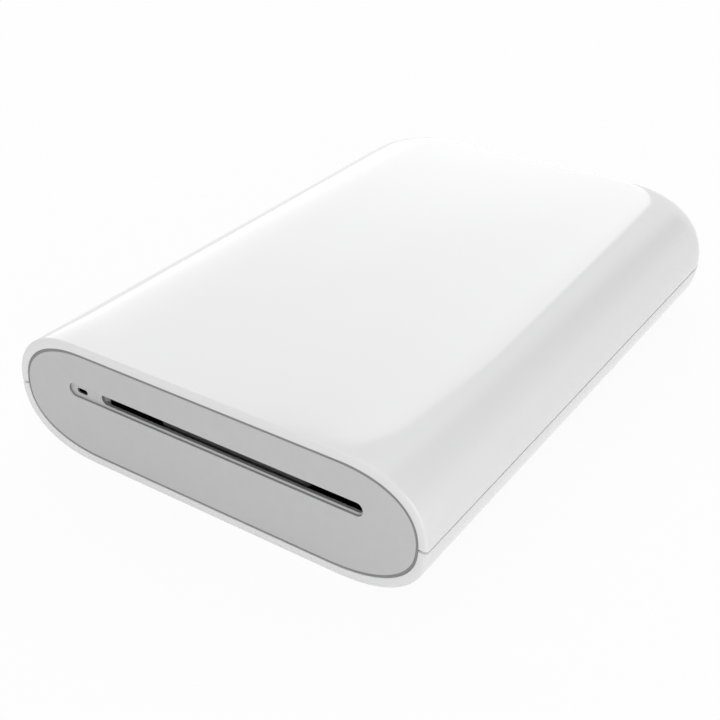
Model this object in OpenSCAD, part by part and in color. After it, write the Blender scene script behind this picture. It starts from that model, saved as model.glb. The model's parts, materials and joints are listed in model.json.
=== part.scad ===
// Pocket photo printer: a soap-bar case in two shells with a flat grey front panel.
// The upper shell is the cover: it turns on two pins along the rear edge and uncovers the paper tray.
// Millimetres. +Z up, front panel faces -Y, origin under the middle of the case.

/* [Case] */
// Width of the case at the seam
body_w = 85; // [84:0.5:88]
// Length of the case
body_l = 124; // [123:0.5:128]
// Height of the case
body_h = 24; // [24:0.25:26]
// Height of the seam between the shells
seam_z = 12; // [11.8:0.1:12.4]
// Gap between the shells at the seam
seam_gap = 0.3; // [0.2:0.05:0.4]
// Wall of both shells
wall = 1.6; // [1.4:0.1:1.8]
// How far the upper side curves in
upper_reach = 14.8; // [13:0.2:15.5]
// How far the lower side curves in
lower_reach = 16.8; // [14:0.2:17.5]
// Fullness of the curved sides, 2 is an ellipse
side_power = 2.3; // [2.1:0.05:2.5]
// Radius of the rear corners seen from above
corner_r = 13; // [10:0.5:14]
// How far the rear curves in at the top
rear_reach = 5; // [3:0.5:6]

/* [Front panel] */
// Thickness of the grey end panel
panel_t = 2; // [1.8:0.1:2.1]
// How far the panel sits back from the rim
panel_setback = 0.3; // [0.2:0.1:0.4]
// Shadow gap round the panel
panel_gap = 0.45; // [0.3:0.05:0.6]
// Length of the slot's shallow recess
recess_l = 61.4; // [60:0.2:62]
// Height of the slot's shallow recess
recess_h = 2.65; // [2.4:0.05:2.8]
// Depth of the slot's shallow recess
recess_d = 0.4; // [0.3:0.1:0.9]
// Width of the slot that the paper leaves by
slot_w = 54; // [53.5:0.1:54.5]

/* [Paper] */
// Width of a sheet
paper_w = 50.8; // [50:0.1:51.2]
// Length of a sheet
paper_l = 76.2; // [76:0.1:76.8]
// Offset of the paper path from the middle
paper_x = 4; // [3.8:0.1:4.2]

/* [Rollers] */
// Radius of the platen roller
platen_r = 3.5; // [3.3:0.1:3.6]
// Radius of the pick roller
pick_r = 3.3; // [3.1:0.1:3.4]
// Radius of the exit and pinch rollers
exit_r = 2; // [1.8:0.1:2.1]
// Radius of the platen and pick shafts
shaft_r = 1.25; // [1:0.05:1.4]
// Radius of the exit and pinch shafts
thin_shaft_r = 0.8; // [0.7:0.05:1]
// Length of the rubber exit roller
exit_roller_l = 29.7; // [28:0.5:31]

/* [Gears] */
// Gear module
gear_module = 0.4; // [0.39:0.005:0.4]
// Width of a gear
gear_w = 1.5; // [1.4:0.1:1.6]

/* [Hinge] */
// Radius of the hinge pins
pin_r = 0.75; // [0.6:0.05:0.9]
// Radius of the hinge knuckles
knuckle_r = 1.9; // [1.8:0.05:1.95]
// Width of a knuckle
knuckle_w = 4; // [3:0.5:4.5]
// Angle to which the cover opens
open_angle = 60; // [50:5:65]

/* [Controls] */
// Length of the power button
button_l = 7; // [6:0.5:8]
// Height of the power button
button_h = 2.6; // [2.4:0.1:2.8]
// Width of the charging inlet
port_w = 7.6; // [7:0.1:8]
// Height of the charging inlet
port_h = 2.6; // [2.4:0.1:2.8]

/* [Hidden] */

$fn = 40;
eps = 0.01;
gap = 0.3;          // between neighbours that do not touch
fit = 0.05;         // radial clearance of a running shaft
snug = 0.02;        // radial clearance of a pressed part
past = 1;           // how far a cutter runs past what it cuts

// Case
front_y = -body_l / 2;
rear_y = body_l / 2;
roof_z = body_h - wall;
floor_z = wall;
base_top = seam_z - seam_gap;
rear_low_reach = lower_reach * 0.7;
side_steps = 9;
corner_steps = 7;

// Front panel and slot
panel_front = front_y + panel_setback;
panel_back = panel_front + panel_t;
exit_z = seam_z + 2.4;              // height at which the paper leaves
recess_z = exit_z + 0.2;
recess_x = paper_x + slot_w / 2 + 0.1 - recess_l / 2;
lip_h = 0.45;                       // rest of the recess floor under the slot
lip_t = 0.7;                        // thickness of the slot's lower lip
relief_h = 1.3;                     // how far the relief behind the lip reaches below the slot
pinhole_l = 2.4;
pinhole_h = 1;
pinhole_z = exit_z + 0.1;

// Paper tray
tray_z = seam_z - 2.6;
tray_t = 1;
tray_top = tray_z + tray_t;
guide_t = 1.2;
guide_top = tray_top + 4.2;
sheet_play = 0.5;
tray_half = paper_w / 2 + sheet_play;
stop_y = rear_y - 14;
tray_front = stop_y - paper_l + 6.7;
flange_front = tray_front + 12.5;
boss_x = [-29.5, 34];                // left and right, the right one outside the paper guide
boss_foot = [wall - 0.4, wall + 0.6]; // heights inside the curved wall
boss_r = 2.4;
tray_boss_y = [flange_front + 4, 26, rear_y - 13];

// Frame
frame_half = slot_w / 2 + 0.2;
plate_t = 1.2;
left_in = paper_x - frame_half;
left_out = left_in - plate_t;
pinhole_x = left_out - 3.2;
right_in = paper_x + frame_half;
right_out = right_in + plate_t;
frame_front = panel_back + 0.8;
frame_rear = flange_front - 1;
frame_foot = 3;
web_t = 1;

// Gears and the places [y, z] of their axes
teeth_platen = 26;
teeth_exit = 14;
teeth_pick = 18;
teeth_idler = 10;
teeth_pinion = 10;
teeth_large = 24;
teeth_small = 10;
teeth_small_rear = 8;
tip = 0.32;                         // tooth height above the pitch circle
feed_step = 11.2;                   // from the exit roller back to the platen
motor_step = [13.2, -3.8];          // from the platen to the motor
pick_step = 11;                     // from the motor back to the pick roller
stud_r = 0.75;
motor_shaft_r = 0.6;
motor_l = 15;
motor_r = 5;
motor_flat = 3.2;                   // half height over the flats
pick_half = 10;                     // half length of the pick roller
pinch_w = 6;
function pitch_r(teeth) = gear_module * teeth / 2;
function meet_r(a, b) = pitch_r(a) + pitch_r(b);
plane_a = right_out + gap;
plane_b = plane_a + gear_w + gap;
train_end = plane_b + gear_w;

exit_at = [panel_back + gap + pitch_r(teeth_exit) + tip, exit_z - exit_r];
platen_at = [exit_at[0] + feed_step, exit_z - gap - platen_r];
pinch_at = [exit_at[0], exit_z + gap + exit_r];
motor_at = platen_at + motor_step;
pick_at = [motor_at[0] + pick_step, tray_top + 0.6 - pick_r];
front_double_at = beside(motor_at, platen_at, meet_r(teeth_pinion, teeth_large),
                         meet_r(teeth_small, teeth_platen), 1);
rear_double_at = beside(motor_at, pick_at, meet_r(teeth_pinion, teeth_large),
                        meet_r(teeth_small_rear, teeth_pick), -1);
idler_at = beside(platen_at, exit_at, meet_r(teeth_platen, teeth_idler),
                  meet_r(teeth_idler, teeth_exit), -1);

platen_turn = 0;
small_turn = mesh_turn(platen_turn, teeth_platen, teeth_small, platen_at, front_double_at);
pinion_turn = mesh_turn(small_turn, teeth_large, teeth_pinion, front_double_at, motor_at);
large_turn = mesh_turn(pinion_turn, teeth_pinion, teeth_large, motor_at, rear_double_at);
pick_turn = mesh_turn(large_turn, teeth_small_rear, teeth_pick, rear_double_at, pick_at);
idler_turn = mesh_turn(platen_turn, teeth_platen, teeth_idler, platen_at, idler_at);
exit_turn = mesh_turn(idler_turn, teeth_idler, teeth_exit, idler_at, exit_at);

// Thermal head
head_low = exit_z;
strip_t = 0.8;
sink_low = head_low + strip_t;
sink_top = sink_low + 1.8;
sink_front = platen_at[0] - 5.5;
sink_rear = platen_at[0] + 10;
head_half = frame_half - 0.8;
pivot_at = [platen_at[0] + 9, sink_low + 0.9];
pivot_r = 0.6;
bridge_t = 0.8;
head_spring_x = [paper_x - 16, paper_x + 16];
head_spring_y = platen_at[0] - 1;
head_spring_r = 1.8;
fin_t = 1.2;
fin_step = 5;
fin_h = 1.4;

// Hinge
hinge_at = [rear_y - 3.6, seam_z];
lip_r = rear_y - hinge_at[0] - 0.1;
lip_in = knuckle_r + 0.4;
lug_x = 24;
lip_end = corner_start(lip_in);
slab = rear_y - hinge_at[0] + gap;

// Cover parts
liner_z = body_h - 5;
liner_t = 1;
liner_front = platen_at[0] + 13;
liner_half = 32;
plate_z = guide_top + gap;
ear_y = [0, 34];
ear_reach = tray_half + guide_t + 2.9;
ear_left = paper_x - ear_reach;
ear_right = paper_x + ear_reach;
ear_w = 8;
float_plate_t = 1;
float_half = paper_w / 2 - 2.4;
float_front = pick_at[0] - 7;
float_rear = stop_y - 8;
pad_w = 8;
pad_t = 0.8;
pad_top = plate_z - 2.8;
post_r = 1.2;
spring_r = 2.4;
magnet_r = 2.5;
magnet_t = 1;
magnet_x = 28.2;
magnet_y = exit_at[0] + 2.2;
shelf_z = pinch_at[1] + thin_shaft_r + gap + 0.1;
shelf_t = 0.8;
frame_magnet_z = shelf_z + shelf_t;
cover_magnet_z = frame_magnet_z + magnet_t + gap;
arm_z = cover_magnet_z + magnet_t;
arm_t = 0.9;
plate_top = arm_z - bridge_t - 0.8;

// Electronics
board_z = floor_z + 2;
board_t = 1;
board_top = board_z + board_t;
board_half = 26;
board_front = rear_y - 32;
board_rear = rear_y - 6;
board_holes = [[-23, board_front + 3], [23, board_front + 3], [-23, board_rear - 3], [23, board_rear - 3]];
control_z = board_top + 1.7;
button_x = 18;
light_x = 11;
sensor_at = [paper_x - 18, frame_rear + 9]; // x and y
battery_z = floor_z + 0.5;
battery_h = 5.4;
battery_rear = board_front - 3;
battery_front = frame_rear + 4;
cell_w = 23;
cell_left = -22;
cell_gap = 0.5;

// ---------- shared shapes ----------

// Share of the reach by which the side has curved in at height share t.
function curve_in(t) = 1 - pow(max(0, 1 - pow(t, side_power)), 1 / side_power);
function height_share(i) = pow(sin(90 * i / side_steps), 2 / side_power);

// One level of the case outline: side inset s, rear inset r, wall offset off, front edge at y = front.
function level_points(s, r, off, front, z) =
    let (hw = body_w / 2 - off - s, yr = rear_y - off - r, cr = max(corner_r - off - r, 1))
    concat(
        [[-hw, front, z], [hw, front, z]],
        [for (i = [0:corner_steps]) let (a = 90 * i / corner_steps)
            [hw - cr + cr * cos(a), yr - cr + cr * sin(a), z]],
        [for (i = [0:corner_steps]) let (a = 90 + 90 * i / corner_steps)
            [cr - hw + cr * cos(a), yr - cr + cr * sin(a), z]]);

// Faces of a closed stack of levels of n points, lowest level first.
function stack_faces(levels, n) = concat(
    [[for (i = [0:n - 1]) i]],
    [[for (i = [0:n - 1]) levels * n - 1 - i]],
    [for (k = [0:levels - 2]) for (i = [0:n - 1]) [k * n + i, (k + 1) * n + i, (k + 1) * n + (i + 1) % n]],
    [for (k = [0:levels - 2]) for (i = [0:n - 1]) [k * n + i, (k + 1) * n + (i + 1) % n,
                                                   k * n + (i + 1) % n]]);

// Solid upper half of the case, its sides off inside the outer surface, down to height low.
module upper_form(off, front, low) {
    top = body_h - off;
    levels = concat(
        [level_points(0, 0, off, front, low)],
        [for (i = [1:side_steps]) let (c = curve_in(height_share(i)))
            level_points(upper_reach * c, rear_reach * c, off, front,
                         seam_z + (top - seam_z) * height_share(i))]);
    form_stack(levels);
}

// Solid lower half of the case, its sides off inside the outer surface, up to height high.
module lower_form(off, front, high) {
    levels = concat(
        [for (i = [side_steps:-1:1]) let (c = curve_in(height_share(i)))
            level_points(lower_reach * c, rear_low_reach * c, off, front,
                         seam_z - (seam_z - off) * height_share(i))],
        [level_points(0, 0, off, front, high)]);
    form_stack(levels);
}

module form_stack(levels) {
    n = len(levels[0]);
    polyhedron(points = [for (lv = levels) each lv], faces = stack_faces(len(levels), n), convexity = 4);
}

// End outline of the case as a list of [x, z], off inside the outer surface.
function end_outline(off) =
    let (a = body_w / 2 - off, steps = 2 * side_steps,
         quarter = function(reach, h, i) let (t = pow(sin(90 * i / steps), 2 / side_power))
             [a - reach * curve_in(t), h * t],
         up = [for (i = [0:steps]) quarter(upper_reach, body_h - off - seam_z, i)],
         down = [for (i = [steps:-1:1]) quarter(lower_reach, off - seam_z, i)],
         right = concat(down, up))
    concat([for (p = right) [p[0], seam_z + p[1]]],
           [for (i = [len(right) - 1:-1:0]) [-right[i][0], seam_z + right[i][1]]]);

// Side position at which the case outline at the seam passes d behind the hinge axis.
function corner_start(d) =
    body_w / 2 - corner_r
    + sqrt(pow(corner_r, 2) - pow(hinge_at[0] + d - (rear_y - corner_r), 2));

// Point beside the line p-q, ra from p and rb from q, on the side given by way.
function beside(p, q, ra, rb, way) =
    let (v = q - p, d = norm(v), u = v / d, a = (ra * ra - rb * rb + d * d) / (2 * d),
         h = sqrt(max(0, ra * ra - a * a)))
    p + a * u + way * h * [u[1], -u[0]];

// Turn of gear b that puts one of its gaps over a tooth of gear a.
function mesh_turn(turn_a, teeth_a, teeth_b, at_a, at_b) =
    let (v = at_b - at_a, line = atan2(v[1], v[0]))
    line + 180 - (0.5 - (line - turn_a) * teeth_a / 360) * 360 / teeth_b;

// Stands a flat YZ shape of thickness t on the plane x = x0.
module along_x(x0, t) {
    translate([x0, 0, 0]) rotate([90, 0, 90]) linear_extrude(t) children();
}

// Round bar along X, centred on the axis at = [y, z].
module bar_x(at, r, x0, x1) {
    translate([x0, at[0], at[1]]) rotate([0, 90, 0]) cylinder(r = r, h = x1 - x0);
}

module block(x0, x1, y0, y1, z0, z1) {
    translate([x0, y0, z0]) cube([x1 - x0, y1 - y0, z1 - z0]);
}

// Spur gear along X with slim straight-sided teeth.
module gear_x(at, teeth, turn, x0, width, bore) {
    pr = pitch_r(teeth);
    root = pr - 0.42;
    step = 360 / teeth;
    points = [for (i = [0:teeth - 1]) each [
        root * [cos(step * (i - 0.33)), sin(step * (i - 0.33))],
        (pr + tip) * [cos(step * (i - 0.1)), sin(step * (i - 0.1))],
        (pr + tip) * [cos(step * (i + 0.1)), sin(step * (i + 0.1))],
        root * [cos(step * (i + 0.33)), sin(step * (i + 0.33))]]];
    difference() {
        translate([0, at[0], at[1]]) along_x(x0, width) rotate(turn) polygon(points);
        bar_x(at, bore, x0 - past, x0 + width + past);
    }
}

// Machine screw that points down, its head's underside at z.
module screw(x, y, z, shank_r, length) {
    translate([x, y, z]) cylinder(r = 2.1 * shank_r, h = 1.2 * shank_r);
    translate([x, y, z - length]) cylinder(r = shank_r, h = length + eps);
}

module boss(x, y, r, z0, z1, bore) {
    difference() {
        translate([x, y, z0]) cylinder(r = r, h = z1 - z0);
        translate([x, y, z0 + 0.8]) cylinder(r = bore, h = z1 - z0);
    }
}

// Round lead along hand-set points, swept as one tube.
module lead(points, r) {
    sides = 8;
    n = len(points);
    function way(i) = let (v = points[min(i + 1, n - 1)] - points[max(i - 1, 0)]) v / norm(v);
    function side_of(d) = let (s = cross(d, abs(d[2]) < 0.9 ? [0, 0, 1] : [1, 0, 0])) s / norm(s);
    rings = [for (i = [0:n - 1]) let (d = way(i), s = side_of(d), u = cross(s, d))
        each [for (k = [0:sides - 1]) points[i] + r * (cos(360 * k / sides) * s + sin(360 * k / sides) * u)]];
    faces = concat(
        [[for (k = [sides - 1:-1:0]) k]],
        [[for (k = [0:sides - 1]) (n - 1) * sides + k]],
        [for (i = [0:n - 2]) for (k = [0:sides - 1]) let (a = i * sides, b = a + sides, m = (k + 1) % sides)
            each [[a + k, b + k, a + m], [a + m, b + k, b + m]]]);
    polyhedron(points = rings, faces = faces, convexity = 6);
}

// ---------- cover ----------

module top_cover() {
    color("white") difference() {
        upper_form(0, front_y, seam_z);
        upper_form(wall, front_y - past, seam_z - past);
    }
}

module cover_liner() {
    rear_wall_y = rear_y - 7;
    color("whitesmoke") difference() {
        union() {
            block(-liner_half, liner_half, liner_front, rear_wall_y + 1.2, liner_z, liner_z + liner_t);
            for (x = [-20, 20]) block(x - 0.6, x + 0.6, liner_front, rear_wall_y, liner_z + liner_t, roof_z);
            for (y = [liner_front, 8, rear_wall_y - 2]) block(-22, 22, y, y + 1.2, liner_z + liner_t, roof_z);
            block(-30.3, 30.3, rear_wall_y, rear_wall_y + 1.2, seam_z + 2.4, liner_z);
            for (s = [-1, 1]) {
                // Arm to the closing magnet at the front
                x = s * magnet_x;
                block(x - 2.4, x + 2.4, magnet_y - 3, liner_front + 2, arm_z, arm_z + arm_t);
                block(x - 2.4, x + 2.4, liner_front, liner_front + 2,
                      min(liner_z, arm_z), max(liner_z + liner_t, arm_z + arm_t));
                // Knuckle and its web
                k0 = s > 0 ? lug_x + knuckle_w / 2 + gap : -lug_x - 1.5 * knuckle_w - gap;
                bar_x(hinge_at, knuckle_r, k0, k0 + knuckle_w);
                block(k0, k0 + knuckle_w, rear_wall_y, hinge_at[0] + 1.2, seam_z, seam_z + 5);
                lip_sector(k0, k0 + knuckle_w, pin_r);
            }
            lip_sector(-lip_end, lip_end, lip_in);
            for (y = ear_y) for (x = [ear_left, ear_right]) {
                translate([x, y, plate_z - gap - 0.6]) cylinder(r = 2, h = 0.6);
                translate([x, y, plate_z - gap]) cylinder(r = post_r, h = liner_z - plate_z + gap + eps);
            }
            // Outriggers that carry the right-hand posts
            for (y = ear_y) block(liner_half - 1, ear_right + 2, y - 2, y + 2, liner_z, liner_z + liner_t);
        }
        for (s = [-1, 1]) bar_x(hinge_at, pin_r + snug, s * (lug_x + 4.5) - 5, s * (lug_x + 4.5) + 5);
    }
}

// Part of the rounded lip under the cover's rear edge, hollow to radius inner.
module lip_sector(x0, x1, inner) {
    intersection() {
        difference() {
            bar_x(hinge_at, lip_r, x0, x1);
            bar_x(hinge_at, inner, x0 - past, x1 + past);
        }
        block(x0 - past, x1 + past, hinge_at[0], rear_y + past, seam_z - lip_r - past, seam_z);
        translate([0, hinge_at[0], seam_z]) rotate([-open_angle, 0, 0])
            block(x0 - past, x1 + past, 0, 2 * lip_r, 0, 2 * lip_r);
        lower_form(0.1, hinge_at[0] - 2 * lip_r, seam_z + past);
    }
}

module cover_magnets() {
    color("silver") for (s = [-1, 1])
        translate([s * magnet_x, magnet_y, cover_magnet_z]) cylinder(r = magnet_r, h = magnet_t);
}

module pressure_plate() {
    color("dimgray") difference() {
        union() {
            block(paper_x - float_half, paper_x + float_half, float_front, float_rear, plate_z,
                  plate_z + float_plate_t);
            for (y = ear_y)
                block(ear_left - 3, ear_right + 3, y - ear_w / 2, y + ear_w / 2, plate_z,
                      plate_z + float_plate_t);
            for (x = [5 - float_half, float_half - 5])
                block(paper_x + x - 0.5, paper_x + x + 0.5, float_front + 1, float_rear - 1,
                      plate_z + float_plate_t - eps, plate_z + float_plate_t + 0.5);
            block(paper_x - pick_half - 2, paper_x + pick_half + 2, pick_at[0] - 5, pick_at[0] + 5,
                  pad_top, plate_z + eps);
        }
        for (y = ear_y) for (x = [ear_left, ear_right])
            translate([x, y, plate_z - past]) cylinder(r = post_r + gap, h = float_plate_t + 3 * past);
    }
}

module pressure_pads() {
    color("peru") for (s = [-1, 1])
        block(paper_x + s * (pick_half - 4) - pad_w / 2, paper_x + s * (pick_half - 4) + pad_w / 2,
              pick_at[0] - pad_w / 2, pick_at[0] + pad_w / 2, pad_top - pad_t, pad_top);
}

function pressure_spring_places() =
    [for (x = [-pick_half - 1, pick_half + 1]) for (y = [pick_at[0], float_rear - 16]) [paper_x + x, y]];

module pressure_springs() {
    color("silver") for (p = pressure_spring_places()) difference() {
        translate([p[0], p[1], plate_z + float_plate_t]) cylinder(r = spring_r,
            h = liner_z - plate_z - float_plate_t);
        translate([p[0], p[1], plate_z]) cylinder(r = spring_r - 0.5, h = liner_z);
    }
}

// ---------- lower case ----------

module base_shell() {
    color("white") {
        difference() {
            lower_form(0, front_y, base_top);
            lower_form(wall, front_y - past, seam_z + past);
            hinge_trough();
            // Charging inlet, power button and light pipe
            block(-port_w / 2 - gap, port_w / 2 + gap, rear_y - 8, rear_y + past,
                  board_top - gap, board_top + port_h + gap);
            stadium_y(button_x, control_z, button_l + 2 * gap, button_h + 2 * gap, rear_y - 8, rear_y + past);
            translate([light_x, rear_y - 8, control_z]) rotate([-90, 0, 0]) cylinder(r = 0.8 + fit, h = 10);
            // Bare label field
            block(-22, 22, -8, 14, -past, 0.2);
        }
        for (i = [0, 1]) for (y = tray_boss_y) boss(boss_x[i], y, boss_r, boss_foot[i], tray_z, 0.85);
        for (h = board_holes) boss(h[0], h[1], 1.8, wall - 0.4, board_z, 0.65);
        for (h = frame_holes()) boss(h[0], h[1], 2.2, wall - 0.4, frame_foot, 0.85);
        // Ribs that carry the front panel
        for (x = [-16, 16]) block(paper_x + x - 4, paper_x + x + 4, panel_back, panel_back + 1.2,
                                  wall - 0.4, 8);
    }
}

// Room for the lip and for the cover's rear wall as it turns down behind the hinge.
module hinge_trough() {
    edge = corner_start(0) + gap;
    intersection() {
        union() {
            bar_x(hinge_at, lip_r + gap, -lip_end - gap, lip_end + gap);
            translate([0, hinge_at[0], seam_z]) rotate([-open_angle, 0, 0])
                block(-lip_end - gap, lip_end + gap, 0, slab, 0, 3 * slab);
            bar_x(hinge_at, corner_step_r() + gap, -edge, edge);
        }
        block(-edge - past, edge + past, hinge_at[0] - gap, rear_y + 3 * slab, seam_z - 2 * slab,
              seam_z + past);
    }
}

// How far behind the hinge axis the outline lies where the lip ends.
function corner_step_r() =
    rear_y - corner_r + sqrt(pow(corner_r, 2) - pow(lip_end - body_w / 2 + corner_r, 2)) - hinge_at[0];

// Bar along Y with a flat-sided round-ended section.
module stadium_y(x, z, length, height, y0, y1) {
    translate([x, y1, z]) rotate([90, 0, 0]) linear_extrude(y1 - y0) {
        square([length - height, height], center = true);
        for (s = [-1, 1]) translate([s * (length - height) / 2, 0]) circle(r = height / 2);
    }
}

module front_panel() {
    slot_bottom = recess_z - recess_h / 2 + lip_h;
    slot_h = recess_z + recess_h / 2 - slot_bottom;
    slot_z = slot_bottom + slot_h / 2;
    color("silver") difference() {
        translate([0, panel_back, 0]) rotate([90, 0, 0]) linear_extrude(panel_t)
            polygon(end_outline(wall + panel_gap));
        stadium_y(recess_x, recess_z, recess_l, recess_h, panel_front - past, panel_front + recess_d);
        stadium_y(paper_x, slot_z, slot_w, slot_h, panel_front - past, panel_back + past);
        stadium_y(pinhole_x, pinhole_z, pinhole_l, pinhole_h, panel_front - past, panel_back + past);
        // Relief that thins the lip between the slot's rounded ends
        block(paper_x - (slot_w - slot_h) / 2, paper_x + (slot_w - slot_h) / 2,
              panel_front + recess_d + lip_t, panel_back + past, slot_bottom - relief_h, slot_z);
    }
}

module paper_tray() {
    guide_in = tray_half;
    color("gainsboro") difference() {
        union() {
            block(left_in + 0.6, right_in - 0.6, tray_front, flange_front + 1, tray_z, tray_top);
            block(-33, boss_x[1] + 2.8, flange_front, rear_y - 8, tray_z, tray_top);
            for (s = [-1, 1]) {
                x = paper_x + s * (guide_in + guide_t / 2);
                block(x - guide_t / 2, x + guide_t / 2, flange_front, stop_y, tray_top - eps, guide_top);
                // Hinge lug on the rear edge
                bar_x(hinge_at, knuckle_r, s * lug_x - knuckle_w / 2, s * lug_x + knuckle_w / 2);
                block(s * lug_x - knuckle_w / 2, s * lug_x + knuckle_w / 2, rear_y - 10, hinge_at[0],
                      seam_z - knuckle_r, seam_z + 1);
            }
            block(paper_x - 14, paper_x + 14, stop_y, stop_y + 1.2, tray_top - eps, guide_top);
        }
        // Window for the pick roller, eye of the paper sensor, screw holes and hinge bores
        block(paper_x - pick_half - 1, paper_x + pick_half + 1, pick_at[0] - pick_r - gap,
              pick_at[0] + pick_r + gap,
              tray_z - past, tray_top + past);
        block(sensor_at[0] - 2, sensor_at[0] + 2, sensor_at[1] - 2, sensor_at[1] + 2, tray_z - past,
              tray_top + past);
        for (x = boss_x) for (y = tray_boss_y)
            translate([x, y, tray_z - past]) cylinder(r = 1, h = 4);
        for (s = [-1, 1]) bar_x(hinge_at, pin_r + fit, s * lug_x - 4, s * lug_x + 4);
    }
}

module hinge_pins() {
    color("silver") for (s = [-1, 1]) {
        x0 = s > 0 ? lug_x - knuckle_w / 2 : -lug_x - 1.5 * knuckle_w - gap;
        bar_x(hinge_at, pin_r, x0, x0 + 2 * knuckle_w + gap);
    }
}

module tray_screws() {
    color("gray") for (x = boss_x) for (y = tray_boss_y) screw(x, y, tray_top, 0.8, 5.5);
}

// ---------- print mechanism ----------

function frame_holes() = [[paper_x - 16, exit_at[0] + 4], [paper_x + 16, exit_at[0] + 4], [-28.2,
    frame_rear - 5]];

module mechanism_frame() {
    side = [[frame_front, frame_foot], [frame_rear, frame_foot], [frame_rear, guide_top - 0.6],
            [pivot_at[0] + 3, guide_top - 0.6], [pivot_at[0] + 2, plate_top], [head_spring_y - 5, plate_top],
            [head_spring_y - 5, shelf_z + shelf_t], [frame_front, shelf_z + shelf_t]];
    color("slategray") difference() {
        union() {
            along_x(left_out, plate_t) polygon(side);
            along_x(right_in, plate_t) polygon(side);
            // Floor web, rear tie and foot
            block(left_in - eps, right_in + eps, exit_at[0], platen_at[0] - 4.5, frame_foot,
                  frame_foot + web_t);
            block(left_in - eps, right_in + eps, frame_rear - 1.2, frame_rear, frame_foot, tray_z - 0.4);
            block(-31, left_out + eps, frame_rear - 8, frame_rear - 2, frame_foot, frame_foot + web_t);
            // Shelves of the closing magnets
            block(-magnet_x - 3, left_out + eps, magnet_y - 3, magnet_y + 3, shelf_z, shelf_z + shelf_t);
            block(magnet_x - 3, right_in + eps, magnet_y - 3, magnet_y + 3, shelf_z, shelf_z + shelf_t);
            // Tab behind the reset switch
            block(pinhole_x - 2.4, left_out + eps, exit_at[0] + 3, exit_at[0] + 3.8, seam_z - 1,
                  seam_z + 4.5);
        }
        bar_x(platen_at, shaft_r + 1 + snug, left_out - past, right_out + past);
        bar_x(exit_at, thin_shaft_r + fit, left_out - past, right_out + past);
        bar_x(pinch_at, thin_shaft_r + fit, left_out - past, right_out + past);
        bar_x(pick_at, shaft_r + fit, left_out - past, right_out + past);
        bar_x(pivot_at, pivot_r + fit, left_out - past, right_out + past);
        bar_x(motor_at, motor_shaft_r + 0.5, right_in - past, right_out + past);
        for (h = frame_holes()) translate([h[0], h[1], frame_foot - past]) cylinder(r = 1, h = 4);
    }
}

module frame_screws() {
    color("gray") for (h = frame_holes()) screw(h[0], h[1], frame_foot + web_t, 0.8, 1.4);
}

module frame_magnets() {
    color("silver") for (s = [-1, 1])
        translate([s * magnet_x, magnet_y, frame_magnet_z]) cylinder(r = magnet_r, h = magnet_t);
}

module gear_studs() {
    color("silver") for (at = [front_double_at, rear_double_at]) bar_x(at, stud_r, right_out,
        train_end + 0.2);
    color("silver") bar_x(idler_at, stud_r, right_out, plane_a + gear_w);
}

module spring_bridge() {
    color("silver") block(left_out, right_out, head_spring_y - 4, head_spring_y + 6, plate_top,
                          plate_top + bridge_t);
}

module head_springs() {
    color("silver") for (x = head_spring_x) difference() {
        translate([x, head_spring_y, sink_top]) cylinder(r = head_spring_r, h = plate_top - sink_top);
        translate([x, head_spring_y, sink_top - past]) cylinder(r = head_spring_r - 0.4, h = 9);
    }
}

module thermal_head() {
    color("saddlebrown") block(paper_x - 26, paper_x + 26, platen_at[0] - 4, platen_at[0] + 3.5,
                               head_low, sink_low);
}

module heat_sink() {
    color("silver") difference() {
        union() {
            block(paper_x - head_half, paper_x + head_half, sink_front, sink_rear, sink_low, sink_top);
            for (i = [-5:5]) if (abs(i) != 3)
                block(paper_x + i * fin_step - fin_t / 2, paper_x + i * fin_step + fin_t / 2,
                      sink_front + 1, sink_rear - 4, sink_top - eps, sink_top + fin_h);
        }
        for (s = [-1, 1]) bar_x(pivot_at, pivot_r + snug, paper_x + s * head_half - 4,
                                paper_x + s * head_half + 4);
    }
}

module head_pivots() {
    color("gray") {
        bar_x(pivot_at, pivot_r, left_out, left_out + 5);
        bar_x(pivot_at, pivot_r, right_out - 5, right_out);
    }
}

module feed_ramp() {
    ramp_start = [pick_at[0] - pick_r, tray_top];
    ramp_end = [platen_at[0] + 4.2, exit_z - 1];
    color("dimgray") along_x(left_in, 2 * frame_half)
        polygon([ramp_start, ramp_end, ramp_end - [0, 0.8], ramp_start - [0, 0.8]]);
}

module exit_guide() {
    color("black") block(left_in, right_in, exit_at[0] + exit_r + 0.7, platen_at[0] - platen_r - 0.6,
                         exit_z - 0.9, exit_z - 0.4);
}

module platen_shaft() {
    color("silver") bar_x(platen_at, shaft_r, left_out - 1, plane_a + gear_w);
}

module platen_roller() {
    color("black") difference() {
        bar_x(platen_at, platen_r, left_in + 0.8, right_in - 0.8);
        bar_x(platen_at, shaft_r + snug, left_in, right_in);
    }
}

module platen_gear() {
    color("ivory") gear_x(platen_at, teeth_platen, platen_turn, plane_a, gear_w, shaft_r + snug);
}

module platen_bushes() {
    color("goldenrod") for (x = [left_out, right_in]) difference() {
        bar_x(platen_at, shaft_r + 1, x, x + plate_t);
        bar_x(platen_at, shaft_r + fit, x - past, x + plate_t + past);
    }
}

module exit_shaft() {
    color("silver") bar_x(exit_at, thin_shaft_r, left_out - 0.6, plane_a + gear_w);
}

module exit_roller() {
    color("dimgray") difference() {
        bar_x(exit_at, exit_r, paper_x - 1.3 - exit_roller_l / 2, paper_x - 1.3 + exit_roller_l / 2);
        bar_x(exit_at, thin_shaft_r + snug, left_in, right_in);
    }
}

module exit_gear() {
    color("ivory") gear_x(exit_at, teeth_exit, exit_turn, plane_a, gear_w, thin_shaft_r + snug);
}

module exit_idler() {
    color("ivory") gear_x(idler_at, teeth_idler, idler_turn, plane_a, gear_w, stud_r + fit);
}

module pinch_shaft() {
    color("silver") bar_x(pinch_at, thin_shaft_r, left_out - 0.6, right_out + 0.6);
}

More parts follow.
